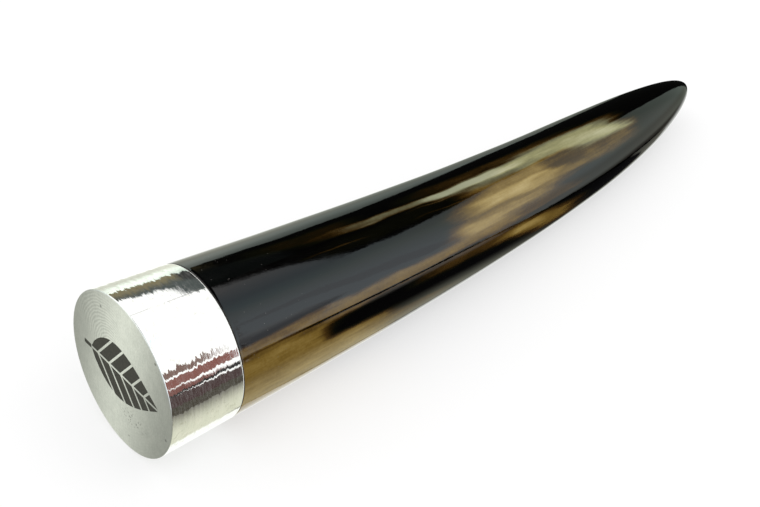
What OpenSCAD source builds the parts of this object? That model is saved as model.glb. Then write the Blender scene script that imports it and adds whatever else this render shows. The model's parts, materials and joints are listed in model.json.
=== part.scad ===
// Tobacco-pipe tamper: a solid horn handle on a turned aluminium foot.
//
// Every piece is drawn in the tool's own frame, with the middle of the
// tamping face at the origin and +X running up the handle.  lay_down()
// then places it as it rests on a table: +Z up and the table at z = 0.

/* [Foot] */
// Diameter of the flat tamping face
foot_d = 17; // [15:0.5:19]
// Length of the foot along its axis
foot_len = 8.4; // [8:0.2:11]
// Chamfer on the rim of the tamping face
rim_chamfer = 0.1; // [0.05:0.05:0.3]
// Chamfer on the foot's back edge, beside the seam
seam_chamfer = 0.1; // [0.1:0.05:0.4]

/* [Horn] */
// Overall length, from the tamping face to the horn's tip
total_len = 82.5; // [76:0.5:90]
// Radius lost in each millimetre of length
taper = 0.063; // [0.05:0.001:0.07]
// Sideways drift of the tip from the foot's axis
tip_bend = 6.3; // [3:0.1:8]
// How late the bend sets in
bend_power = 3.2; // [2.6:0.1:4]
// Where the rounding of the nose begins, from the tamping face
nose_start = 56; // [48:1:60]
// How full the rounded nose is
nose_power = 2.8; // [2:0.1:4]

/* [Stud] */
// Major diameter of the threaded stud
stud_d = 5; // [4:1:6]
// Thread pitch
thread_pitch = 0.8; // [0.7:0.1:1]
// Length of stud screwed into the foot
stud_in_foot = 4.8; // [4:0.1:5.2]
// Length of stud bonded into the horn
stud_in_horn = 13.6; // [8:0.1:16]
// Thickness of the resin between the thread's crests and the horn
resin_wall = 0.6; // [0.3:0.1:1]

/* [Leaf mark] */
// Length of the engraved leaf without its stalk
leaf_len = 11.6; // [9:0.2:12]
// Width of the leaf
leaf_w = 6.4; // [4:0.2:7]
// Length of the stalk
stalk_len = 1.2; // [0.6:0.1:1.6]
// Width of the bright ribs left standing between the grooves
rib_w = 0.24; // [0.2:0.02:0.4]
// Depth of the grooves
groove_depth = 0.15; // [0.1:0.01:0.2]

/* [Hidden] */

foot_r = foot_d / 2;
skin_gap = 0.01;                    // clearance that keeps bonded solids apart

// The tamper rests on the cone's lower edge, centred over the origin
rest_pitch = atan(taper);
rest_height = foot_r * cos(rest_pitch);
rest_back = (total_len * cos(rest_pitch) - foot_r * sin(rest_pitch)) / 2;

// Seam between foot and horn
seam_gap = 0.06;                    // thickness of the glue line
seam_recess = 0.05;                 // how far the glue line sits below the surface
seam_r = foot_r - taper * foot_len;
horn_start = foot_len + seam_gap;   // where the horn's sawn end begins

// Thread, as shares of its pitch
thread_depth = 0.54 * thread_pitch;
root_end = 0.2 * thread_pitch;      // where the flat root ends
crest_start = 0.5 * thread_pitch;
crest_end = 0.65 * thread_pitch;
thread_clear = 0.03;                // radial clearance of the tapped hole
drill_point_angle = 118;
tap_spare = 0.6;                    // drilled depth in the foot beyond the stud
bore_spare = 1.2;                   // bored depth in the horn beyond the stud
bore_r = stud_d / 2 + resin_wall;
bore_end = horn_start + stud_in_horn + bore_spare;
cut_past = 1;                       // how far a cut runs past a face

// Leaf
leaf_steps = 20;                    // straight pieces in each edge
leaf_belly = 0.75;                  // under 1 moves the widest place to the stalk
fill_recess = 0.03;                 // how far the filler lies below the ribs
vein_count = 5;
vein_angle = 50;
first_vein = 0.1;                   // place of the first vein, as a share of length
vein_spacing = 0.17;

horn_rings = 46;
horn_sides = 56;
round_fn = 96;

horn_color = "#33281d";
aluminium_color = "#d8dad8";
steel_color = "#8c8f93";
epoxy_color = "#4a3a22";
fill_color = "#24231c";

// Radius of the tapered body at distance x from the tamping face
function cone_r(x) = foot_r - taper * x;

// Share of that radius left where the nose rounds off, 1 before nose_start
function nose_share(x) =
    let (t = max(0, (x - nose_start) / (total_len - nose_start)))
    sqrt(max(0, 1 - pow(t, nose_power)));

function body_r(x) = cone_r(x) * nose_share(x);

// Centreline of the horn and its slope: straight at the foot, curved at the tip
function drift(x) = tip_bend * pow(x / total_len, bend_power);
function heading(x) =
    atan(tip_bend * bend_power / total_len * pow(x / total_len, bend_power - 1));

// Stations along the horn: even at first, then closing up towards the tip
function station(i) =
    horn_start + (total_len - horn_start) * sin(90 * i / horn_rings);

// One ring of points, square to the centreline
function ring(x) = [
    for (k = [0 : horn_sides - 1])
        let (a = 360 * k / horn_sides, r = body_r(x), h = heading(x))
        [
            x - r * cos(a) * sin(h),
            drift(x) + r * cos(a) * cos(h),
            r * sin(a)
        ]
];

function root_r(clear) = stud_d / 2 - thread_depth + clear;

// Thread as ring grooves, from the stud's end in the foot to x = last
function thread_profile(last, clear) =
    let (
        first = foot_len - stud_in_foot,
        whole_turns = floor((last - first) / thread_pitch + skin_gap)
    )
    [
        for (i = [0 : whole_turns - 1])
            let (x = first + i * thread_pitch)
            each [
                [root_r(clear), x],
                [root_r(clear), x + root_end],
                [stud_d / 2 + clear, x + crest_start],
                [stud_d / 2 + clear, x + crest_end]
            ]
    ];

// Length of the point that a drill of radius r leaves at the end of its hole
function drill_point(r) = r / tan(drill_point_angle / 2);

// Half-width of the leaf at share t of its length, from the stalk to the point
function leaf_edge(t) = leaf_w / 2 * sin(180 * pow(t, leaf_belly));

module lay_down() {
    translate([-rest_back, 0, rest_height])
        rotate([0, rest_pitch, 0])
            children();
}

// Turns a profile of [radius, x] points about the tool's X axis
module turned(points) {
    rotate([0, 90, 0])
        rotate_extrude($fn = round_fn)
            polygon(points);
}

module stud_solid(clear) {
    last = foot_len + stud_in_horn;
    turned(concat(
        [[0, foot_len - stud_in_foot]],
        thread_profile(last, clear),
        [[root_r(clear), last], [0, last]]
    ));
}

// Tapped blind hole in the back of the foot
module tapped_hole() {
    r = root_r(thread_clear);
    floor_x = foot_len - stud_in_foot - tap_spare;
    turned(concat(
        [[0, floor_x - drill_point(r)], [r, floor_x]],
        thread_profile(foot_len + cut_past, thread_clear),
        [[r, foot_len + cut_past], [0, foot_len + cut_past]]
    ));
}

module horn_bore() {
    turned([
        [0, horn_start - cut_past],
        [bore_r, horn_start - cut_past],
        [bore_r, bore_end],
        [0, bore_end + drill_point(bore_r)]
    ]);
}

module horn_solid() {
    points = concat(
        [for (i = [0 : horn_rings - 1]) each ring(station(i))],
        [[horn_start, drift(horn_start), 0], [total_len, tip_bend, 0]]
    );
    sawn = horn_rings * horn_sides;
    tip = sawn + 1;
    last = (horn_rings - 1) * horn_sides;
    function next(k) = (k + 1) % horn_sides;
    polyhedron(
        points = points,
        faces = concat(
            [for (k = [0 : horn_sides - 1]) [sawn, next(k), k]],
            [for (i = [0 : horn_rings - 2], k = [0 : horn_sides - 1])
                let (a = i * horn_sides, b = a + horn_sides)
                each [
                    [a + k, a + next(k), b + k],
                    [a + next(k), b + next(k), b + k]
                ]],
            [for (k = [0 : horn_sides - 1]) [last + k, last + next(k), tip]]
        ),
        convexity = 4
    );
}

// One half of the leaf, above its midrib, cut into segments by slanting veins.
// The stalk's end is at x = 0 and the point at x = leaf_len.
module leaf_half() {
    difference() {
        intersection() {
            polygon([
                for (i = [0 : leaf_steps])
                    let (t = i / leaf_steps)
                    [t * leaf_len, leaf_edge(t)]
            ]);
            translate([0, rib_w / 2])
                square([leaf_len, leaf_w]);
        }
        for (i = [0 : vein_count - 1])
            translate([(first_vein + i * vein_spacing) * leaf_len, 0])
                rotate(vein_angle)
                    translate([0, -rib_w / 2])
                        square([leaf_len, rib_w]);
    }
}

// Leaf outline with its stalk, centred, point towards +X
module leaf_outline() {
    translate([(stalk_len - leaf_len) / 2, 0]) {
        for (side = [0, 1])
            mirror([0, side])
                leaf_half();
        translate([-stalk_len, -rib_w])
            square([stalk_len, 2 * rib_w]);
    }
}

// The mark as a solid from x = from to x = to, with the leaf's point to -Y
module leaf_mark(from, to) {
    translate([from, 0, 0])
        rotate([90, 0, 90])
            linear_extrude(to - from)
                mirror([1, 0])
                    leaf_outline();
}

module horn_handle() {
    color(horn_color)
        difference() {
            horn_solid();
            horn_bore();
        }
}

module foot() {
    color(aluminium_color)
        difference() {
            turned([
                [0, 0],
                [foot_r - rim_chamfer, 0],
                [cone_r(rim_chamfer), rim_chamfer],
                [cone_r(foot_len - seam_chamfer), foot_len - seam_chamfer],
                [seam_r - seam_chamfer, foot_len],
                [0, foot_len]
            ]);
            tapped_hole();
            leaf_mark(-cut_past, groove_depth);
        }
}

module threaded_stud() {
    color(steel_color)
        stud_solid(clear = 0);
}

// Cured resin that fills the bore round the stud
module stud_epoxy() {
    color(epoxy_color)
        difference() {
            turned([
                [0, horn_start],
                [bore_r - skin_gap, horn_start],
                [bore_r - skin_gap, bore_end],
                [0, bore_end]
            ]);
            stud_solid(clear = skin_gap);
        }
}

// Thin dark glue line between the foot and the horn's sawn end
module seam_epoxy() {
    color(epoxy_color)
        difference() {
            turned([
                [0, foot_len + skin_gap],
                [seam_r - seam_chamfer - seam_recess, foot_len + skin_gap],
                [seam_r - seam_recess, horn_start - skin_gap],
                [0, horn_start - skin_gap]
            ]);
            translate([foot_len - cut_past, 0, 0])
                rotate([0, 90, 0])
                    cylinder(r = stud_d / 2 + skin_gap, h = 2 * cut_past, $fn = round_fn);
        }
}

// Black filler that lies just below the bright ribs of the mark
module mark_fill() {
    color(fill_color)
        leaf_mark(fill_recess, groove_depth - skin_gap);
}

lay_down() horn_handle();
lay_down() foot();
lay_down() threaded_stud();
lay_down() stud_epoxy();
lay_down() seam_epoxy();
lay_down() mark_fill();
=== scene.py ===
"""Looks of a tobacco-pipe tamper: a polished horn handle on a turned aluminium foot.

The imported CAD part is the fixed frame. The horn and the foot get dense, smooth meshes
that follow their CAD shapes. The glue line, the mark's filler, the stud and its resin stay as
CAD made them and get materials. Lengths are in millimetres along the tool's own axis,
and angles go round that axis in degrees: 0 towards +Y, 90 up and 180 towards the front.
"""

import json
import math

import bmesh
import bpy
from mathutils import Matrix, Vector


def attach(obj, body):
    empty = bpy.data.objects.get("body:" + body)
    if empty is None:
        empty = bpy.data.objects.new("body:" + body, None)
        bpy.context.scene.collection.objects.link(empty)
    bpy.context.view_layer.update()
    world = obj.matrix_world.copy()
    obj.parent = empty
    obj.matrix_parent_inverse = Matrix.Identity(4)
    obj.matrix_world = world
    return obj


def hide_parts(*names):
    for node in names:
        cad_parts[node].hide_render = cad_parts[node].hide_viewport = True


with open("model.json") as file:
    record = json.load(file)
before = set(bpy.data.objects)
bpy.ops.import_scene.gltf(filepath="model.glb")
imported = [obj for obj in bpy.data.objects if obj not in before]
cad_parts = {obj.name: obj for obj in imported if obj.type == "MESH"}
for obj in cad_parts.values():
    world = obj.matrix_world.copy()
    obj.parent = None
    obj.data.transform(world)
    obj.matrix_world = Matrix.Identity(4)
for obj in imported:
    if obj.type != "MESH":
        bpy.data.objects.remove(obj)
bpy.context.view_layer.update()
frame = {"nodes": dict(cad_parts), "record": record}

MM = 0.001

# Driving dimensions of the part
FOOT_R = 8.5
FOOT_LEN = 8.4
TAPER = 0.063
RIM_CHAMFER = 0.1
SEAM_CHAMFER = 0.1
SEAM_GAP = 0.06
TOTAL_LEN = 82.5
TIP_BEND = 6.3
BEND_POWER = 3.2
NOSE_START = 56.0
NOSE_POWER = 2.8
STUD_R = 2.5
THREAD_PITCH = 0.8
THREAD_DEPTH = 0.54 * THREAD_PITCH
ROOT_END, CREST_START, CREST_END = 0.2, 0.5, 0.65    # places within one turn of the thread, as shares
THREAD_CLEAR = 0.03
STUD_IN_FOOT = 4.8
STUD_IN_HORN = 13.6
RESIN_WALL = 0.6
TAP_SPARE = 0.6
BORE_SPARE = 1.2
DRILL_ANGLE = 118
GROOVE_DEPTH = 0.15

HORN_START = FOOT_LEN + SEAM_GAP
THREAD_ROOT_R = STUD_R - THREAD_DEPTH
TAP_END = FOOT_LEN - STUD_IN_FOOT - TAP_SPARE
BORE_R = STUD_R + RESIN_WALL
BORE_END = HORN_START + STUD_IN_HORN + BORE_SPARE
DRILL_POINT = 1 / math.tan(math.radians(DRILL_ANGLE / 2))   # length of a drill's point for each mm of radius

# The tool's own frame, from the mount at the middle of the tamping face
FACE = next(m for m in frame["record"]["mounts"] if m["name"] == "tamping_face")
ALONG = -Vector(FACE["axis"])
ACROSS = Vector((0, 1, 0))
UP = ALONG.cross(ACROSS)
TOOL = Matrix.Translation(FACE["pos_m"]) @ Matrix((ALONG, ACROSS, UP)).transposed().to_4x4()

FRONT = 135.0          # angle of the line that faces the camera, where the grain map is cut open behind
GRAIN_R = 7.0          # radius of the straight cylinder on which the horn's grain is drawn


# ---------------------------------------------------------------- camera and studio

CAMERA_AIM = Vector((-10.84, -1.0, 8.48)) * MM
CAMERA_DISTANCE = 181.35 * MM
CAMERA_HEADING = 51.27       # from +X towards +Y
CAMERA_DIP = 38.79
LENS, SENSOR = 85.26, 36.0

WALL_DISTANCE = 14.0          # the pale walls stand behind the cards
CARD_DISTANCE = 10.0
NEAR_DISTANCE = 9.4           # and a few shades and lines hang in front of them
LINE_DISTANCE = 9.0

SEAM_STEP = 5                 # degrees round the tool between points of a card that follows the seam
TABLE_LAP = 0.4               # how far, in mm, the dark table's reflection laps over the foot's side


def toward(azimuth, elevation):
    """Unit vector at an azimuth from +Y towards +X, in degrees."""
    a, e = math.radians(azimuth), math.radians(elevation)
    return Vector((math.sin(a) * math.cos(e), math.cos(a) * math.cos(e), math.sin(e)))


def camera_view():
    """Direction in which the camera looks."""
    return toward(90 - CAMERA_HEADING, -CAMERA_DIP)


def camera_place():
    return CAMERA_AIM - CAMERA_DISTANCE * camera_view()


def make_camera():
    data = bpy.data.cameras.new("camera")
    data.lens, data.sensor_width = LENS, SENSOR
    data.clip_start, data.clip_end = 0.01, 50
    camera = bpy.data.objects.new("camera", data)
    camera.location = camera_place()
    camera.rotation_euler = camera_view().to_track_quat("-Z", "Y").to_euler()
    bpy.context.scene.collection.objects.link(camera)
    bpy.context.scene.camera = camera


class Graph:
    """Short calls for one node tree. Each call adds a node and returns one of its outputs."""

    def __init__(self, tree):
        self.tree = tree
        tree.nodes.clear()

    def add(self, kind, settings=None, inputs=None, output=0):
        node = self.tree.nodes.new("ShaderNode" + kind)
        for key, value in (settings or {}).items():
            setattr(node, key, value)
        for key, value in (inputs or {}).items():
            if isinstance(value, bpy.types.NodeSocket):
                self.tree.links.new(value, node.inputs[key])
            else:
                node.inputs[key].default_value = value
        return node.outputs[output] if node.outputs else None

    def math(self, operation, a, b=0.0, clamp=False):
        settings = {"operation": operation, "use_clamp": clamp}
        return self.add("Math", settings, {0: a, 1: b})

    def vector(self, operation, a, b=(0, 0, 0), output=0):
        return self.add("VectorMath", {"operation": operation}, {0: a, 1: b}, output)

    def noise(self, place, scale=1.0, detail=2.0, rough=0.5, output=0):
        inputs = {"Vector": place, "Scale": scale, "Detail": detail, "Roughness": rough}
        return self.add("TexNoise", None, inputs, output)

    def ramp(self, value, low, high, to_low=0.0, to_high=1.0):
        """Smooth step from to_low at low up to to_high at high."""
        inputs = {"Value": value, "From Min": low, "From Max": high, "To Min": to_low, "To Max": to_high}
        return self.add("MapRange", {"interpolation_type": "SMOOTHSTEP"}, inputs)

    def centred(self, noise, share):
        """Noise shifted to swing evenly about zero, times share."""
        return self.math("MULTIPLY", self.math("SUBTRACT", noise, 0.5), share)

    def mix(self, share, below, above, blend="MIX"):
        settings = {"data_type": "RGBA", "blend_type": blend, "clamp_result": False}
        return self.add("Mix", settings, {0: share, 6: opaque(below), 7: opaque(above)}, 2)

    def surface(self, shader):
        self.add("OutputMaterial", None, {"Surface": shader})


def opaque(colour):
    return colour if isinstance(colour, bpy.types.NodeSocket) else (*colour, 1.0)


def new_material(name):
    material = bpy.data.materials.new(name)
    material.use_nodes = True
    return material, Graph(material.node_tree)


def glow(name, colour, fade=None):
    """Material that only shines, seen in reflections. With fade = (two directions, width,
    colour below) it blends into another colour across the plane through the directions."""
    material, g = new_material(name)
    if fade:
        (first, second), width, below = fade
        level = toward(*first).cross(toward(*second)).normalized()
        if level.z < 0:
            level.negate()
        direction = g.vector("NORMALIZE", g.add("NewGeometry", output=0))
        height = g.vector("DOT_PRODUCT", direction, level, output=1)
        colour = g.mix(g.ramp(height, width, -width), colour, below)
    g.surface(g.add("Emission", None, {"Color": opaque(colour), "Strength": 1.0}))
    material.cycles.emission_sampling = "NONE"
    return material


def mesh_object(name, points, faces):
    mesh = bpy.data.meshes.new(name)
    mesh.from_pydata([tuple(p) for p in points], [], faces)
    mesh.update()
    piece = bpy.data.objects.new(name, mesh)
    bpy.context.scene.collection.objects.link(piece)
    return piece


def only_in_reflections(card):
    card.visible_camera = False
    card.visible_diffuse = False
    card.visible_transmission = False
    card.visible_shadow = False


def reflected_card(name, outline, colour, fade=None, distance=CARD_DISTANCE):
    """Flat card far away, its outline given as (azimuth, elevation) seen from the tool."""
    directions = [toward(a, e) for a, e in outline]
    middle = sum(directions, Vector()).normalized()
    points = [d * (distance / d.dot(middle)) for d in directions]
    card = mesh_object(name, points, [list(range(len(points)))])
    card.data.materials.append(glow(name, colour, fade))
    only_in_reflections(card)


def reflected_line(name, path, half_width, colour):
    """Thin ribbon along a path of (azimuth, elevation)."""
    points = []
    for a, e in path:
        points += [toward(a, e + half_width) * LINE_DISTANCE, toward(a, e - half_width) * LINE_DISTANCE]
    faces = [(2 * i, 2 * i + 1, 2 * i + 3, 2 * i + 2) for i in range(len(path) - 1)]
    line = mesh_object(name, points, faces)
    line.data.materials.append(glow(name, colour))
    only_in_reflections(line)


def mirrored_on_foot(along, angles):
    """Azimuth and elevation that the foot's side mirrors to the camera, at a distance along
    the tool and at some angles round it."""
    directions = []
    for degrees in angles:
        place = TOOL @ (straight_point(along, cone_r(along), degrees) * MM)
        normal = (TOOL.to_3x3() @ straight_point(TAPER, 1, degrees)).normalized()
        away = (place - camera_place()).reflect(normal).normalized()
        azimuth, elevation = math.atan2(away.x, away.y), math.asin(away.z)
        directions.append((math.degrees(azimuth), math.degrees(elevation)))
    return directions


def make_room_reflections():
    """What the polished sides mirror: a dark room behind, and a dark table beyond the pale cloth."""
    dark_room = [
        (22, 12.5), (29, 13), (32, 14.4), (36, 16.7), (38.5, 17), (38.2, 8.5), (38, 2), (41, -7),
        (42.4, -14), (43.2, -20), (46, -26), (75, -26), (75, 0), (75.5, 10), (80, 22), (84, 30.5), (88.5, 37),
        (92.5, 40.8), (98, 41.5), (104, 41.8), (108.6, 42.4), (106.5, 45.4), (99, 48), (92, 49.6),
        (80, 51), (69.8, 50.7), (60.1, 47.8), (52.5, 44.3), (48.1, 41.3), (42.4, 36.8), (39.3, 34.1),
        (37.7, 32.7), (32, 27), (24, 18),
    ]
    reflected_card("dark_room", dark_room, (0.012, 0.013, 0.012))
    cloth_edge = [
        (147.2, -6.4), (147, -6.4), (144.8, -7.3), (142.9, -9.2), (138.6, -12),
        (135.6, -13.6), (133.3, -16.5), (129.9, -21.5), (121.2, -27.8), (108, -31.8), (95.5, -33.2),
    ]
    reflected_line("cloth_edge", cloth_edge, 1.15, (0.0, 0.0, 0.0))
    dark_table = [
        *reversed(cloth_edge[1:-1]),
        *mirrored_on_foot(FOOT_LEN - TABLE_LAP, range(160, 181, SEAM_STEP)),
        *mirrored_on_foot(FOOT_LEN, range(185, 201, SEAM_STEP)),
        (72, -60), (73, -50), (82, -43), (92, -40), (102, -36),
    ]
    below_cloth = ((145, -37), (107, -53)), 0.09, CLOTH_BELOW
    reflected_card("dark_table", dark_table, (0.020, 0.020, 0.022), below_cloth)
    table_shade = [
        (112, -31), (97, -33.5), (84, -37), (74, -41), (66, -49), (64, -60), (88, -66), (112, -60),
    ]
    reflected_card("table_shade", table_shade, (0.36, 0.36, 0.30), distance=WALL_DISTANCE)
    table_rim = [
        (143.8, -9.6), (138.6, -12.8), (135.4, -14.8), (133.1, -17.5), (129.6, -22.5), (128, -30),
        (133, -27), (138.2, -22.5), (143.6, -18.5),
    ]
    rim_fade = ((143.5, -13.4), (132, -21)), 0.045, (0.02, 0.02, 0.022)
    reflected_card("table_rim", table_rim, (1.25, 1.15, 1.05), rim_fade, NEAR_DISTANCE)
    window_frame = [(136.6, 32), (132.4, 31), (132.6, 9), (136.3, 8.4)]
    reflected_card("window_frame", window_frame, (1.58, 1.70, 1.80))
    dim_wedge = [
        (146.9, -3), (146.6, 0.4), (145.3, 8.8), (143.1, 19.5), (141, 17), (139.6, 11), (142, 7),
        (143.6, 0), (144.4, -3.6),
    ]
    wedge_fade = ((146, 16), (139.6, 12)), 0.07, (1.0, 1.04, 1.12)
    reflected_card("dim_wedge", dim_wedge, (1.90, 2.03, 2.10), wedge_fade)


def make_foot_reflections():
    """What the foot's side mirrors. These end near the seam, where the horn's own reflections
    begin, so that in the main view only the foot shows them."""
    ceiling_edge = [
        (30, 27), (37.6, 32.8), (41.6, 36.2), (46.6, 40.6), (53, 45), (60, 48.8), (64, 49.6),
        (70, 50.4), (78, 52), *mirrored_on_foot(FOOT_LEN, range(115, 126, SEAM_STEP)),
    ]
    ceiling = [*ceiling_edge, (121, 52), (108, 60), (80, 65), (50, 60), (28, 40)]
    reflected_card("foot_ceiling", ceiling, (1.3, 1.3, 1.3), distance=NEAR_DISTANCE)
    crescent = [
        (22, 12.5), (29, 13), (31.9, 14.5), (35.3, 22.7), (40.2, 30.6), (48, 36.8), (56, 42.5), (63.5, 46),
        (64, 49.7), (60, 48.8), (53, 45), (46.6, 40.6), (41.6, 36.2), (37.6, 32.8), (30, 27), (24, 18),
    ]
    crescent_fade = ((32, 26), (42, 24)), 0.14, (0.20, 0.17, 0.085)
    reflected_card("crescent", crescent, (0.05, 0.065, 0.062), crescent_fade, LINE_DISTANCE)
    wall = [
        *mirrored_on_foot(FOOT_LEN, range(125, 166, SEAM_STEP)),
        (146.6, -22), (152, -22), (157, 0), (150, 30), (130, 52),
    ]
    reflected_card("foot_wall", wall, (1.3, 1.3, 1.3), distance=WALL_DISTANCE)
    red_dashes = [(143.9, 18.2), (149.5, 19.5), (151.5, 11.5), (145.9, 11.5)]
    reflected_card("red_dashes", red_dashes, (0.21, 0.12, 0.10))
    red_band = [(145.4, 9.2), (152, 9.4), (152, -0.2), (148.3, -0.8), (146.9, -0.2), (146.8, 0.4)]
    reflected_card("red_band", red_band, (0.25, 0.088, 0.070))
    red_wedge = [(152, -1.0), (149.6, -1.2), (148.1, -4.8), (148.3, -8.4), (152, -10.4)]
    reflected_card("red_wedge", red_wedge, (0.19, 0.060, 0.046))
    bar = [(147.05, -5.0), (147.05, -10.3), (148.4, -10.6), (152, -11.4), (152, -10.2), (148.9, -7.9)]
    reflected_card("bar", bar, (0.0, 0.0, 0.0), distance=LINE_DISTANCE)
    purple_band = [
        (147.1, -14), (148.7, -12.2), (149.8, -10.8), (152, -10), (152, -25), (146.2, -24.5), (147, -17.4),
    ]
    reflected_card("purple_band", purple_band, (0.055, 0.026, 0.025))
    grey_band = [(146.2, -24.5), (152, -25), (149, -36.5), (143.5, -34)]
    reflected_card("grey_band", grey_band, (0.050, 0.042, 0.026))
    reflected_line("lamp_edge", [(57.6, 51.8), (60.1, 48.2)], 0.5, (0.85, 0.85, 0.85))


def make_dim_ceiling():
    """Straight above, so that the foot's top doesn't burn out when it is seen from other sides."""
    for name, lowest, shade, distance in (
        ("ceiling_rim", 65.5, 0.72, WALL_DISTANCE),
        ("ceiling_middle", 71, 0.40, CARD_DISTANCE),
    ):
        outline = [(azimuth, lowest) for azimuth in range(0, 360, 15)]
        reflected_card(name, outline, (shade, shade, shade), distance=distance)


def make_floor():
    half = FLOOR_HALF
    corners = [(-half, -half, 0), (half, -half, 0), (half, half, 0), (-half, half, 0)]
    floor = mesh_object("floor", corners, [(0, 1, 2, 3)])
    material, g = new_material("pale_floor")
    matt = g.add("BsdfDiffuse", None, {"Color": opaque(FLOOR_WHITE), "Roughness": 0.0})
    lit_from_below = g.add("Emission", None, {"Color": (1, 1, 1, 1), "Strength": 1.0})
    g.surface(g.add("MixShader", None, {0: FLOOR_GLOW, 1: matt, 2: lit_from_below}))
    floor.data.materials.append(material)
    floor.visible_glossy = False


# Brightness that polished surfaces mirror at each azimuth, as (azimuth, colour): near the horizon
HORIZON = [
    (-180, (1.00, 1.00, 1.00)), (-120, (0.80, 0.80, 0.78)), (24, (0.68, 0.70, 0.60)),
    (26.5, (0.74, 0.76, 0.65)), (28.5, (0.84, 0.86, 0.74)), (34, (0.47, 0.51, 0.44)),
    (42, (0.28, 0.31, 0.26)), (66, (0.28, 0.31, 0.26)), (76, (0.45, 0.50, 0.42)),
    (92, (0.47, 0.52, 0.43)), (104, (0.66, 0.68, 0.58)), (112, (0.74, 0.77, 0.67)),
    (120, (0.90, 0.97, 0.88)), (134, (1.23, 1.29, 1.31)), (150, (1.36, 1.40, 1.43)),
]
# and overhead
OVERHEAD = [
    (-180, (1.30, 1.30, 1.30)), (24, (1.35, 1.35, 1.33)), (76, (1.25, 1.28, 1.30)),
    (106, (0.86, 1.03, 1.14)), (120, (1.02, 1.34, 1.46)), (134, (1.70, 1.85, 1.90)),
    (150, (1.90, 1.95, 2.00)),
]
ROOM_STRENGTH = 2.5
HORIZON_LIFT = (1.45, 1.55, 1.62)   # how much brighter the room is above the horizon than below it
WHITE_TABLE = (1.15, 1.17, 1.12)
CLOTH_NEAR_SHADE = (0.14, 0.13, 0.11)
CLOTH_BELOW = (0.78, 0.79, 0.63)
CLOTH_BEFORE_FACE = (0.77, 0.79, 0.69)
SOFT_WHITE = (1.05, 1.05, 1.05)
SOFTBOX_DIRECTION = (150, 52)
SOFTBOX_DISTANCE = 0.9
SOFTBOX_SIZE = 0.7
SOFTBOX_WATTS = 1.6
FLOOR_HALF = 2.0
FLOOR_WHITE = (0.94, 0.94, 0.94)
FLOOR_GLOW = 0.6              # share of the floor's white that it gives off itself


def turn_share(azimuth):
    """Azimuth as a share of a full turn, the way the world's shader counts it."""
    return (azimuth + 180) / 360


def azimuth_ramp(g, share, stops):
    """Colours round the horizon, divided by ROOM_STRENGTH. make_light multiplies them back."""
    dimmed = [(turn_share(azimuth), [c / ROOM_STRENGTH for c in colour]) for azimuth, colour in stops]
    return colour_ramp(g, share, dimmed)


def scaled(g, colour, factor):
    result = g.vector("SCALE", colour)
    if isinstance(factor, bpy.types.NodeSocket):
        g.tree.links.new(factor, result.node.inputs["Scale"])
    else:
        result.node.inputs["Scale"].default_value = factor
    return result


def make_light():
    world = bpy.data.worlds.new("soft_white_room")
    bpy.context.scene.world = world
    world.use_nodes = True
    g = Graph(world.node_tree)
    direction = g.add("TexCoord", output=0)
    parts = g.add("SeparateXYZ", None, {0: direction}).node.outputs
    turn = g.math("ARCTAN2", parts[0], parts[1])
    share = g.math("ADD", g.math("MULTIPLY", turn, 1 / (2 * math.pi)), 0.5)
    height = parts[2]

    behind = g.ramp(share, turn_share(76), turn_share(70))
    above_dark_room = g.math("MULTIPLY", behind, g.ramp(height, 0.30, 0.36))
    overhead = g.math("MAXIMUM", above_dark_room, g.ramp(height, 0.55, 0.80))
    lift = g.mix(g.ramp(height, -0.18, 0.08), (1, 1, 1), HORIZON_LIFT)
    horizon = g.vector("MULTIPLY", azimuth_ramp(g, share, HORIZON), lift)
    horizon = scaled(g, horizon, ROOM_STRENGTH)
    room = g.mix(overhead, horizon, scaled(g, azimuth_ramp(g, share, OVERHEAD), ROOM_STRENGTH))

    cloth = g.mix(g.ramp(height, -0.50, -0.90), CLOTH_NEAR_SHADE, CLOTH_BELOW)
    cloth = g.mix(g.ramp(share, turn_share(94), turn_share(76)), cloth, WHITE_TABLE)
    cloth = g.mix(g.ramp(share, turn_share(0), turn_share(20)), CLOTH_BEFORE_FACE, cloth)
    mirrored = g.mix(g.ramp(height, -0.35, -0.50), room, cloth)
    glossy = g.add("LightPath", output=3)
    background = g.add("Background", None, {"Color": g.mix(glossy, SOFT_WHITE, mirrored), "Strength": 1.0})
    g.add("OutputWorld", None, {"Surface": background})

    data = bpy.data.lights.new("softbox", "AREA")
    data.shape, data.size = "DISK", SOFTBOX_SIZE
    data.energy = SOFTBOX_WATTS
    lamp = bpy.data.objects.new("softbox", data)
    lamp.location = SOFTBOX_DISTANCE * toward(*SOFTBOX_DIRECTION)
    lamp.rotation_euler = lamp.location.to_track_quat("Z", "Y").to_euler()
    lamp.visible_glossy = False
    bpy.context.scene.collection.objects.link(lamp)


# ---------------------------------------------------------------- shapes

def cone_r(x):
    return FOOT_R - TAPER * x


def horn_r(x):
    share = max(0.0, (x - NOSE_START) / (TOTAL_LEN - NOSE_START))
    return cone_r(x) * math.sqrt(max(0.0, 1 - share**NOSE_POWER))


def drift(x):
    """Sideways offset of the horn's centreline and the centreline's slope."""
    offset = TIP_BEND * (x / TOTAL_LEN) ** BEND_POWER
    slope = TIP_BEND * BEND_POWER / TOTAL_LEN * (x / TOTAL_LEN) ** (BEND_POWER - 1)
    return offset, slope


def horn_point(x, r, degrees):
    offset, slope = drift(x)
    lean, a = math.atan(slope), math.radians(degrees)
    side = r * math.cos(a)
    return Vector((x - side * math.sin(lean), offset + side * math.cos(lean), r * math.sin(a)))


def straight_point(x, r, degrees):
    a = math.radians(degrees)
    return Vector((x, r * math.cos(a), r * math.sin(a)))


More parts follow.
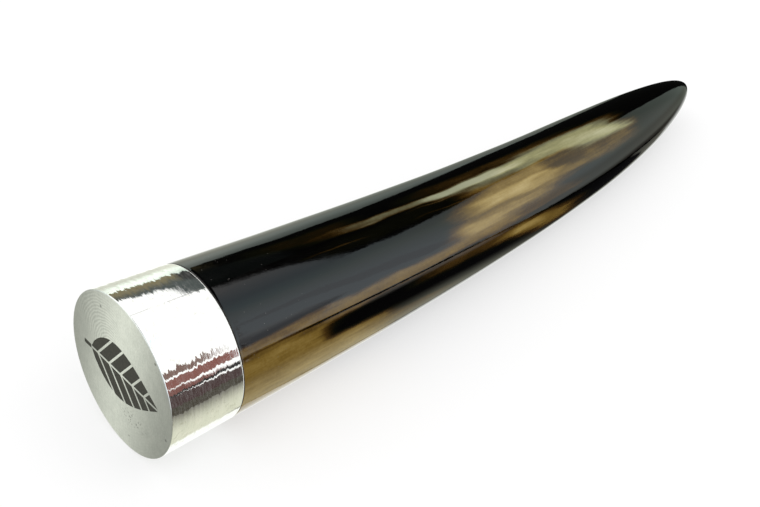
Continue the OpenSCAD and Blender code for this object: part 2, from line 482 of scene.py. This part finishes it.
def polish_loss(x, degrees):
    """How much hand polishing took off the horn: long, shallow waves, never more than 0.05 mm."""
    a = math.radians(degrees)
    wave = math.sin(0.31 * x + 2 * a) + math.sin(0.53 * x - 3 * a + 1.1) + math.sin(0.19 * x + 5 * a + 2.3)
    return 0.005 * (3 + wave)


def skin(name, rings, sides, point):
    """Mesh in the tool's frame from rings of (x, r); r = 0 closes an end in one point.
    Each vertex keeps its place along and round the tool in the attribute "grain"."""
    points, grain, faces = [], [], []
    starts = []
    for x, r in rings:
        starts.append(len(points))
        for k in range(sides if r else 1):
            degrees = 360 * k / sides
            points.append(TOOL @ (point(x, r, degrees) * MM))
            a = math.radians(degrees - FRONT)
            grain.append((x, GRAIN_R * math.cos(a), GRAIN_R * math.sin(a)))
    for i in range(len(rings) - 1):
        a, b = starts[i], starts[i + 1]
        for k in range(sides):
            n = (k + 1) % sides
            if not rings[i][1]:
                faces.append((a, b + n, b + k))
            elif not rings[i + 1][1]:
                faces.append((a + k, a + n, b))
            else:
                faces.append((a + k, a + n, b + n, b + k))
    if rings[0][1]:
        faces.append(tuple(reversed(range(sides))))
    piece = mesh_object(name, points, faces)
    attribute = piece.data.attributes.new("grain", "FLOAT_VECTOR", "POINT")
    attribute.data.foreach_set("vector", [c for g in grain for c in g])
    return piece


def smooth(piece, sharp_over=35):
    """Smooth shading, with sharp edges kept and every face square to the tool's axis left flat."""
    piece.data.shade_smooth()
    piece.data.set_sharp_from_angle(angle=math.radians(sharp_over))
    for face in piece.data.polygons:
        if abs(face.normal.dot(ALONG)) > 0.9999:
            face.use_smooth = False


def thread_rings(last, clear):
    """Tapped thread as ring grooves, from the stud's end in the foot up to x = last."""
    first = FOOT_LEN - STUD_IN_FOOT
    crest, root = STUD_R + clear, THREAD_ROOT_R + clear
    rings = []
    for i in range(int((last - first) / THREAD_PITCH)):
        x = first + i * THREAD_PITCH
        for share, r in ((0, root), (ROOT_END, root), (CREST_START, crest), (CREST_END, crest)):
            rings.append((x + share * THREAD_PITCH, r))
    return rings


def make_horn():
    sides, steps = 160, 240
    first_step = 0.35                  # brings the first ring closer to the tip
    end_rings = (7.0, 4.5)             # radii of the rings across the sawn end
    edge = 0.04                        # rounding of the sawn end's rim
    guard = 0.02                       # a ring this close keeps the rounding's shading narrow
    rings = [(TOTAL_LEN, 0)]
    for i in range(steps, -1, -1):
        share = math.sin(math.pi / 2 * (i - first_step) / steps)
        x = HORN_START + edge + (TOTAL_LEN - HORN_START - edge) * share
        if i:
            rings.append((x, horn_r(x)))
    rings.append((HORN_START + edge + guard, horn_r(HORN_START + edge + guard)))
    for turn in (0, 30, 60, 90):
        a = math.radians(turn)
        x = HORN_START + edge * (1 - math.sin(a))
        rings.append((x, horn_r(HORN_START) - edge * (1 - math.cos(a))))
    rings += [(HORN_START, r) for r in (*end_rings, BORE_R)]
    rings += [(BORE_END, BORE_R), (BORE_END + BORE_R * DRILL_POINT, 0)]

    def point(x, r, degrees):
        inner = x <= HORN_START and r <= end_rings[0] or r == BORE_R
        loss = 0 if inner else polish_loss(x, degrees) * r / cone_r(x)
        return horn_point(x, r - loss, degrees)

    horn = skin("polished_horn", rings, sides, point)
    smooth(horn)
    horn.data.materials.append(horn_material())
    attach(horn, "root")
    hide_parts("horn_handle")
    return horn


def make_foot():
    sides, steps = 192, 30
    rim = RIM_CHAMFER
    guard = 0.02                       # a ring this close keeps an edge's shading narrow
    after_rim = 0.03
    face_border = 0.5                  # width of the outermost band of faces on the tamping face
    back_ring_r = 5.0
    rings = [(0, FOOT_R - face_border), (0, FOOT_R - rim - guard)]
    for turn in (0, 22, 45, 68, 90):
        a = math.radians(turn)
        rings.append((rim * (1 - math.cos(a)), cone_r(rim) - rim * (1 - math.sin(a))))
    last = FOOT_LEN - SEAM_CHAMFER
    rings.append((rim + after_rim, cone_r(rim + after_rim)))
    for i in range(1, steps):
        x = rim + (last - rim) * i / steps
        rings.append((x, cone_r(x)))
    rings += [(last - guard, cone_r(last - guard)), (last, cone_r(last))]
    seam_r = cone_r(FOOT_LEN) - SEAM_CHAMFER
    top = THREAD_ROOT_R + THREAD_CLEAR
    rings += [(FOOT_LEN, seam_r), (FOOT_LEN, back_ring_r), (FOOT_LEN, top)]
    rings += reversed(thread_rings(FOOT_LEN, THREAD_CLEAR))
    rings += [(TAP_END, top), (TAP_END - top * DRILL_POINT, 0)]
    foot = skin("turned_foot", rings, sides, straight_point)
    foot.data.flip_normals()
    engrave(foot)
    tool_coordinates(foot)
    smooth(foot)
    foot.data.materials.append(foot_material())
    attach(foot, "root")
    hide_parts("foot")
    return foot


def engrave(foot):
    """Cuts the mark's grooves, with a copy of the CAD filler stretched through the face."""
    mark = bmesh.new()
    mark.from_mesh(frame["nodes"]["mark_fill"].data)
    bmesh.ops.remove_doubles(mark, verts=mark.verts, dist=0.001 * MM)
    to_tool = TOOL.inverted()
    for vertex in mark.verts:
        place = to_tool @ vertex.co
        near_face = place.x < 0.5 * GROOVE_DEPTH * MM
        place.x = (-1.0 if near_face else GROOVE_DEPTH) * MM
        vertex.co = TOOL @ place
    mesh = bpy.data.meshes.new("mark_cutter")
    mark.to_mesh(mesh)
    mark.free()
    cutter = bpy.data.objects.new("mark_cutter", mesh)
    bpy.context.scene.collection.objects.link(cutter)
    cut = foot.modifiers.new("mark", "BOOLEAN")
    cut.operation, cut.solver, cut.object = "DIFFERENCE", "EXACT", cutter
    graph = bpy.context.evaluated_depsgraph_get()
    carved = bpy.data.meshes.new_from_object(foot.evaluated_get(graph))
    foot.modifiers.clear()
    foot.data = carved
    carved.name = "turned_foot"
    bpy.data.objects.remove(cutter)


def tool_coordinates(piece):
    """Stores each vertex's place in the tool's frame, in millimetres, in the attribute "tool"."""
    to_tool = TOOL.inverted()
    attribute = piece.data.attributes.new("tool", "FLOAT_VECTOR", "POINT")
    for vertex, item in zip(piece.data.vertices, attribute.data):
        item.vector = (to_tool @ vertex.co) / MM


# ---------------------------------------------------------------- horn material

# Horn colours by depth of tint, from black up to the palest: warm tan, and cool cream
WARM = [
    (0.0, (0.0004, 0.0003, 0.0003)), (0.1, (0.0022, 0.0022, 0.0006)),
    (0.2, (0.008, 0.0042, 0.0007)), (0.4, (0.043, 0.022, 0.004)),
    (0.6, (0.142, 0.088, 0.018)), (0.8, (0.265, 0.186, 0.057)), (1.0, (0.410, 0.315, 0.135)),
]
COOL = [
    (0.0, (0.0004, 0.0004, 0.0003)), (0.2, (0.008, 0.006, 0.001)), (0.4, (0.052, 0.050, 0.028)),
    (0.6, (0.130, 0.126, 0.072)), (0.8, (0.265, 0.255, 0.128)), (1.0, (0.430, 0.415, 0.260)),
]

# Each patch: name, tint, its two ends as (mm along, degrees round), half width in degrees,
# softness and strength. Later patches lie over earlier ones.
PATCHES = [
    ("belly", 0.62, (-16, 208), (28, 208), 50, 0.35, 1.0),
    ("belly_light", 0.78, (4, 201), (27, 201), 14, 1.1, 0.75),
    ("belly_end", 0.50, (24, 190), (36, 200), 9, 1.1, 0.7),
    ("flank", 0.58, (41, 173), (56, 193), 12, 0.9, 0.95),
    ("flank_light", 0.84, (41.5, 174), (49, 181), 6, 1.3, 0.9),
    ("brown_line", 0.52, (-4, 155.5), (52, 158.5), 5.5, 0.9, 1.0),
    # painted reflection: a thin darker line in the tint, where the dark edge of the cloth is mirrored
    ("crease", 0.40, (6, 158.4), (22, 160.6), 1.0, 0.9, 0.8),
    ("plum", 0.0, (19, 171.5), (31, 172.5), 8, 0.6, 1.0),
    ("maroon", 0.34, (31, 168), (44, 172), 6, 1.1, 0.9),
    ("diagonal", 0.0, (29, 181), (47, 188), 9, 0.7, 1.0),
    ("field", 0.62, (38, 138), (56, 133), 18, 0.9, 1.0),
    ("field_top", 0.68, (43, 119), (54, 116), 8, 1.3, 0.9),
    ("point", 0.66, (36, 147), (50, 152), 8, 1.1, 1.0),
    ("bright", 0.97, (42, 130), (51, 134), 5, 1.5, 0.8),
    ("bright_end", 0.72, (49, 134), (58, 141), 4, 1.3, 0.8),
    ("bright_point", 0.80, (38, 146), (46, 152), 4, 1.2, 0.7),
    ("smoky_streak", 0.52, (40, 139), (52, 142), 1.8, 1.1, 0.8),
    ("plum_streak", 0.34, (44, 154), (56, 161), 4.5, 1.1, 0.85),
    ("tail", 0.50, (54, 131), (67, 141), 13, 0.9, 0.9),
    ("fringe", 0.30, (36, 93), (56, 93), 5, 1.4, 0.9),
    ("halo", 0.20, (15, 89), (27, 95), 5, 1.2, 0.8),
    ("thread", 0.46, (24, 99.4), (43, 104), 3.0, 1.2, 1.0),
    ("thread_pale", 0.82, (36, 102.4), (44, 104.4), 2.2, 1.3, 0.8),
    ("streak", 0.80, (38, 104), (60, 105), 5, 1.2, 1.0),
    ("streak_body", 0.76, (49, 105), (64, 107), 9, 1.3, 1.0),
    ("streak_tail", 0.90, (57, 112), (67, 124), 7.5, 1.4, 1.0),
    ("pale_heart", 0.97, (42, 104.5), (49, 106), 3, 1.2, 0.9),
    ("smoky_patch", 0.38, (52, 122), (58.5, 130), 8, 1.4, 0.9),
    ("olive_fibres", 0.08, (22, 113), (38, 113), 6, 1.2, 0.8),
    ("fibre_1", 0.36, (20, 111.8), (26, 113.6), 0.5, 1.2, 0.8),
    ("fibre_2", 0.34, (33, 107.4), (42, 109.2), 0.5, 1.2, 0.8),
    ("fibre_3", 0.32, (34, 116.6), (42, 118.4), 0.5, 1.2, 0.8),
    ("notch", 0.54, (40.5, 112.5), (50, 112), 4, 1.3, 0.95),
    # the side that faces away and the underside
    ("back_streak", 0.62, (22, 10), (58, 20), 9, 1.1, 0.85),
    ("back_pale", 0.85, (34, 14), (50, 18), 4, 1.2, 0.8),
    ("back_tail", 0.42, (56, 30), (70, 44), 9, 1.1, 0.8),
    ("under_tan", 0.60, (34, 258), (60, 275), 15, 1.1, 0.85),
    ("under_dark", 0.0, (22, 240), (36, 250), 11, 0.9, 0.9),
    ("under_brown", 0.40, (10, 305), (34, 312), 14, 1.1, 0.8),
]
# Where the tint is cream and not tan, laid out like the patches
CREAM_AREAS = [
    ("cream_streak", 1.0, (16, 100), (70, 106), 9, 0.5, 1.0),
    ("cream_tail", 1.0, (56, 112), (68, 124), 10, 0.7, 1.0),
    ("tan_below", 0.0, (36, 122), (56, 124), 8, 1.0, 1.0),
    ("back_pale", 1.0, (34, 14), (50, 18), 7, 0.9, 0.7),
]


def along_grain(g, grain, scale, detail=3.0, output=0):
    """Noise stretched into fibres: scale is (along, round, round)."""
    return g.noise(g.vector("MULTIPLY", grain, scale), 1.0, detail, 0.55, output)


def flat_y(degrees):
    """Height on the grain map, in mm, of an angle round the tool."""
    return math.radians(degrees - FRONT) * GRAIN_R


def patch_share(g, flat, start, end, half_width, softness, strength):
    """How far a point of the flat grain map lies inside one patch."""
    x0, y0 = start[0], flat_y(start[1])
    x1, y1 = end[0], flat_y(end[1])
    if y0 > math.pi * GRAIN_R:
        y0, y1 = y0 - 2 * math.pi * GRAIN_R, y1 - 2 * math.pi * GRAIN_R
    inputs = {
        "Vector": flat,
        "Location": ((x0 + x1) / 2, (y0 + y1) / 2, 0),
        "Rotation": (0, 0, math.atan2(y1 - y0, x1 - x0)),
        "Scale": (math.hypot(x1 - x0, y1 - y0) / 2, math.radians(half_width) * GRAIN_R, 1),
    }
    local = g.add("Mapping", {"vector_type": "TEXTURE"}, inputs)
    squares = g.vector("MULTIPLY", local, local)
    distance = g.vector("LENGTH", squares, output=1)
    return g.ramp(distance, 1 + softness, max(0.0, 1 - softness), 0.0, strength)


def layered(g, flat, patches):
    value = 0.0
    for _, tint, *place in patches:
        share = patch_share(g, flat, *place)
        value = g.add("Mix", {"data_type": "FLOAT"}, {0: share, 2: value, 3: tint})
    return value


def colour_ramp(g, value, stops):
    ramp = g.add("ValToRGB", None, {0: value})
    elements = ramp.node.color_ramp.elements
    elements.remove(elements[1])
    for i, (position, colour) in enumerate(stops):
        element = elements[0] if i == 0 else elements.new(position)
        element.position = position
        element.color = (*colour, 1)
    return ramp


def horn_material():
    material, g = new_material("polished_horn")
    grain = g.add("Attribute", {"attribute_name": "grain"}, output=1)
    parts = g.add("SeparateXYZ", None, {0: grain}).node
    turn = g.math("ARCTAN2", parts.outputs[2], parts.outputs[1])
    across = g.math("MULTIPLY", turn, GRAIN_R)
    flat = g.add("CombineXYZ", None, {0: parts.outputs[0], 1: across})

    # Patch borders wander slowly and fray along the fibres
    sway = g.vector("SUBTRACT", along_grain(g, grain, (0.12, 0.40, 0.40), 2.0, 1), (0.5, 0.5, 0.5))
    fray = g.vector("SUBTRACT", along_grain(g, grain, (0.20, 2.6, 2.6), 3.0, 1), (0.5, 0.5, 0.5))
    still = flat
    flat = g.vector("ADD", flat, g.vector("MULTIPLY", sway, (6.0, 1.1, 0)))
    flat = g.vector("ADD", flat, g.vector("MULTIPLY", fray, (1.2, 0.32, 0)))

    # Fibres of several sizes, stronger where the horn is pale
    tint = layered(g, flat, PATCHES)
    cloud = along_grain(g, grain, (0.30, 1.1, 1.1), 3.0)
    fibre = along_grain(g, grain, (0.16, 3.4, 3.4), 4.0)
    fine = along_grain(g, grain, (0.35, 11.0, 11.0), 2.0)
    mottle = g.noise(grain, 3.0, 3.0, 0.6)
    stir = g.centred(cloud, 0.28)
    for noise, share in ((fibre, 0.15), (fine, 0.10), (mottle, 0.12)):
        stir = g.math("ADD", stir, g.centred(noise, share))
    reach = g.ramp(tint, 0.0, 0.35, 0.10, 1.0)
    tint = g.math("ADD", tint, g.math("MULTIPLY", stir, reach))

    # Painted reflection: a thin dark line, dead straight below the tan, darkened into the tint where the dark
    # edge of the cloth is mirrored
    painted_edge_reflection = patch_share(g, still, (16, 159.9), (40, 163.1), 0.8, 0.9, 1.0)
    tint = g.math("MULTIPLY", tint, g.math("SUBTRACT", 1.0, painted_edge_reflection))
    coolness = g.math("MULTIPLY", layered(g, flat, CREAM_AREAS), g.ramp(tint, 0.22, 0.60))
    colour = g.mix(coolness, colour_ramp(g, tint, WARM), colour_ramp(g, tint, COOL))

    # A milky bloom where the pale streak is thinnest
    bloom = patch_share(g, flat, (35, 102), (46, 104.5), 3.4, 1.0, 0.75)
    colour = g.mix(g.math("MULTIPLY", bloom, g.ramp(tint, 0.5, 0.8)), colour, (0.285, 0.30, 0.215))

    # A few tiny pale specks, mostly near the foot
    cells = g.add("TexVoronoi", {"feature": "F1"}, {"Vector": grain, "Scale": 2.0}).node
    chosen = g.math("GREATER_THAN", g.add("SeparateXYZ", None, {0: cells.outputs["Color"]}), 0.55)
    near_foot = g.ramp(parts.outputs[0], 24, 9, 0.02, 0.095)
    speck = g.math("MULTIPLY", g.math("LESS_THAN", cells.outputs["Distance"], near_foot), chosen)
    colour = g.mix(g.math("MULTIPLY", speck, 0.5), colour, (0.14, 0.13, 0.12))

    relief = along_grain(g, grain, (0.5, 2.2, 2.2), 3.0)
    bump = g.add("Bump", None, {"Strength": 0.05, "Distance": 0.1 * MM, "Height": relief})
    gloss = g.ramp(along_grain(g, grain, (0.3, 1.5, 1.5)), 0.35, 0.7, 0.035, 0.07)
    shader = g.add("BsdfPrincipled", None, {
        "Base Color": colour, "Roughness": gloss, "IOR": 1.43, "Normal": bump,
    })
    g.surface(shader)
    return material


# ---------------------------------------------------------------- foot material

def foot_material():
    """Bright aluminium: turning marks and hatching round the side, a painted highlight along the back edge,
    and a worn satin face with a painted highlight across it.
    """
    material, g = new_material("turned_aluminium")
    tool = g.add("Attribute", {"attribute_name": "tool"}, output=1)
    parts = g.add("SeparateXYZ", None, {0: tool}).node
    x = parts.outputs[0]
    on_face = g.ramp(x, 0.16, 0.05)
    y, z = parts.outputs[1], parts.outputs[2]
    side_colour, side_gloss, side_normal, side_metal = foot_side(g, tool, x, y, z)
    face_colour, face_gloss, face_normal = foot_face(g, tool, y, z)
    shader = g.add("BsdfPrincipled", None, {
        "Base Color": g.mix(on_face, side_colour, face_colour),
        "Metallic": g.add("Mix", {"data_type": "FLOAT"}, {0: on_face, 2: side_metal, 3: 1.0}),
        "Roughness": g.add("Mix", {"data_type": "FLOAT"}, {0: on_face, 2: side_gloss, 3: face_gloss}),
        "Normal": g.add("Mix", {"data_type": "VECTOR"}, {0: on_face, 4: side_normal, 5: face_normal}, 1),
    })
    g.surface(shader)
    return material


def foot_side(g, tool, x, y, z):
    # Turning marks run round the foot, so they vary fast along it and slowly round it
    marks = g.noise(g.vector("MULTIPLY", tool, (7.0, 0.35, 0.35)), 1.0, 5.0, 0.6)
    normal = g.add("Bump", None, {"Strength": 0.05, "Distance": 0.02 * MM, "Height": marks})

    # Each mark also leans a little round the foot, most on its worn top, which frays the reflections
    chatter = g.noise(g.vector("MULTIPLY", tool, (3.4, 0.32, 0.32)), 1.0, 4.0, 0.65)
    swing = g.ramp(z, 4.2, 4.8, 0.10, 0.26)
    lean = g.centred(chatter, swing)
    around = g.vector("CROSS_PRODUCT", tuple(ALONG), g.add("NewGeometry", output=1))
    normal = g.vector("ADD", normal, scaled(g, around, lean))

    # The crown is polished away a little towards the back
    fall = g.math("MULTIPLY", g.ramp(x, 5.0, 8.3, 0.0, 0.026), g.ramp(y, -2.1, -1.2))
    fall = g.math("MULTIPLY", fall, g.ramp(z, 3.0, 6.0))
    normal = g.vector("NORMALIZE", g.vector("ADD", normal, scaled(g, tuple(ALONG), fall)))

    # Fine hatching scatters light, most of all on the worn top
    hatching = g.noise(g.vector("MULTIPLY", tool, (8.0, 1.2, 1.2)), 1.0, 3.0, 0.6)
    on_top = g.ramp(z, 5.0, 8.2, 0.02, 0.05)
    hatched = g.math("MULTIPLY", g.ramp(hatching, 0.50, 0.72), on_top)
    scuffs = g.noise(g.vector("MULTIPLY", tool, (1.2, 0.8, 0.8)), 1.0, 3.0, 0.5)
    grime = g.noise(g.vector("MULTIPLY", tool, (2.4, 1.6, 1.6)), 1.0, 4.0, 0.65)
    gloss = g.math("ADD", g.ramp(scuffs, 0.3, 0.7, 0.02, 0.045), hatched)
    colour = g.mix(g.ramp(scuffs, 0.35, 0.65), (0.85, 0.86, 0.83), (0.90, 0.90, 0.88))
    colour = g.mix(g.ramp(grime, 0.50, 0.72, 0.0, 0.8), colour, (0.68, 0.68, 0.63))

    # One long thin scratch on the top
    off_scratch = g.math("ABSOLUTE", g.math("ADD", y, g.math("MULTIPLY", z, 0.236)))
    scratch = g.math("MULTIPLY", g.ramp(off_scratch, 0.07, 0.03), g.ramp(z, 7.0, 7.5))
    colour = g.mix(g.math("MULTIPLY", scratch, g.ramp(scuffs, 0.40, 0.50)), colour, (0.60, 0.60, 0.58))

    # Painted highlight: the back edge's chamfer is made near-white, rough and barely metallic, so that it
    # shows as a bright line
    painted_highlight_edge = g.ramp(x, FOOT_LEN - 0.14, FOOT_LEN - 0.10)
    gloss = g.math("ADD", gloss, g.math("MULTIPLY", painted_highlight_edge, 0.6))
    colour = g.mix(painted_highlight_edge, colour, (1.0, 1.0, 0.97))
    metal = g.ramp(hatching, 0.40, 0.70, 0.97, 0.91)
    metal = g.add("Mix", {"data_type": "FLOAT"}, {0: painted_highlight_edge, 2: metal, 3: 0.25})
    return colour, gloss, normal, metal


def foot_face(g, tool, y, z):
    # Lathe rings in colour and relief, clearest in one sector, where their colour is a painted highlight of
    # the rings catching the light
    from_axis = g.vector("MULTIPLY", g.vector("SUBTRACT", tool, (0, 1.5, 1.7)), (0, 1, 1))
    ring_r = g.vector("LENGTH", from_axis, output=1)
    wobble = g.noise(tool, 0.6, 2.0)
    phase = g.math("MULTIPLY", g.math("ADD", ring_r, g.math("MULTIPLY", wobble, 0.5)), 2 * math.pi / 0.33)
    rings = g.math("SINE", phase)
    sector = spot(g, tool, (3.4, 4.4), (3.2, 2.8), 0.5)
    rings = g.math("MULTIPLY", rings, g.math("ADD", g.math("MULTIPLY", sector, 0.95), 0.15))

    grit = g.noise(tool, 4.5, 5.0, 0.65)
    blotches = g.noise(tool, 0.9, 3.0, 0.55)
    scratches = g.noise(g.vector("MULTIPLY", tool, (1, 9.0, 0.6)), 1.0, 2.0, 0.5)

    # Painted highlight: the face's sheen, brightest along a line down the middle and duller towards both
    # sides; the face is also made darker towards the bottom
    from_middle = g.math("ABSOLUTE", g.math("ADD", g.math("SUBTRACT", y, 0.45), g.math("MULTIPLY", z, 0.207)))
    tone = g.math("MULTIPLY", g.ramp(from_middle, -0.5, 8.5, 0.95, 0.42), g.ramp(z, -8, 7, 0.84, 1.0))
    stir = g.math("MULTIPLY", rings, 0.11)
    for noise, share in ((grit, 0.50), (blotches, 0.24), (scratches, 0.26)):
        stir = g.math("ADD", stir, g.centred(noise, share))
    tone = g.math("MULTIPLY", tone, g.math("ADD", stir, 1.0))

    # Pits near the rim, and burrs beside the mark
    pits = g.add("TexVoronoi", {"feature": "F1"}, {"Vector": tool, "Scale": 0.42})
    near_rim = g.ramp(g.vector("LENGTH", g.vector("MULTIPLY", tool, (0, 1, 1)), output=1), 5.5, 7.0)
    pit = g.math("MULTIPLY", g.ramp(pits, 0.085, 0.05), near_rim)
    cells = g.add("TexVoronoi", {"feature": "F1"}, {"Vector": tool, "Scale": 3.2})
    burr = g.math("MULTIPLY", g.ramp(cells, 0.38, 0.22), spot(g, tool, (-2.0, -4.3), (2.0, 0.8), 0.6))
    dents = g.math("MAXIMUM", pit, burr)
    tone = g.math("MULTIPLY", tone, g.math("SUBTRACT", 1.0, g.math("MULTIPLY", dents, 0.55)))

    height = g.math("ADD", g.math("MULTIPLY", rings, 0.3), grit)
    height = g.math("SUBTRACT", height, g.math("MULTIPLY", dents, 0.8))
    normal = g.add("Bump", None, {"Strength": 0.5, "Distance": 0.02 * MM, "Height": height})
    colour = scaled(g, g.mix(blotches, (0.93, 0.965, 0.94), (0.985, 1.0, 0.975)), tone)
    return colour, 0.32, normal


def spot(g, tool, centre, size, softness):
    """Share of an oval on the face, with its centre and half sizes along Y and Z."""
    place = g.vector("SUBTRACT", tool, (0, *centre))
    place = g.vector("MULTIPLY", place, (0, 1 / size[0], 1 / size[1]))
    return g.ramp(g.vector("LENGTH", place, output=1), 1 + softness, 1 - softness)


# ---------------------------------------------------------------- carried-over CAD nodes

def speckled(name, dark, light, scale, rough_low, rough_high, metallic=0.0, gloss_level=0.5):
    """Material for the small inner pieces: two tones, uneven gloss and a little relief."""
    material, g = new_material(name)
    place = g.vector("SCALE", g.add("NewGeometry", output=0))
    place.node.inputs["Scale"].default_value = 1 / MM
    tone = g.noise(place, scale, 4.0, 0.6)
    bump = g.add("Bump", None, {"Strength": 0.3, "Distance": 0.03 * MM, "Height": tone})
    shader = g.add("BsdfPrincipled", None, {
        "Base Color": g.mix(g.ramp(tone, 0.35, 0.65), dark, light),
        "Roughness": g.ramp(tone, 0.3, 0.7, rough_low, rough_high),
        "Metallic": metallic,
        "Specular IOR Level": gloss_level,
        "Normal": bump,
    })
    g.surface(shader)
    return material


def dress(node, material):
    mesh = frame["nodes"][node].data
    mesh.materials.clear()
    mesh.materials.append(material)


def dress_cad_nodes():
    black, grey = (0.008, 0.008, 0.005), (0.045, 0.043, 0.032)
    dress("mark_fill", speckled("black_filler", black, grey, 5.0, 0.45, 0.7, gloss_level=0.25))
    dress("seam_epoxy", speckled("dark_glue", (0.006, 0.004, 0.002), (0.03, 0.02, 0.01), 3.0, 0.3, 0.5))
    dress("stud_epoxy", speckled("amber_resin", (0.06, 0.035, 0.012), (0.12, 0.075, 0.03), 1.5, 0.08, 0.2))
    dark_steel, pale_steel = (0.42, 0.43, 0.45), (0.6, 0.61, 0.63)
    dress("threaded_stud", speckled("rolled_steel", dark_steel, pale_steel, 2.5, 0.2, 0.4, 1.0))


bpy.context.scene.view_settings.view_transform = "Standard"
make_camera()
make_light()
make_floor()
make_room_reflections()
make_foot_reflections()
make_dim_ceiling()
make_horn()
make_foot()
dress_cad_nodes()
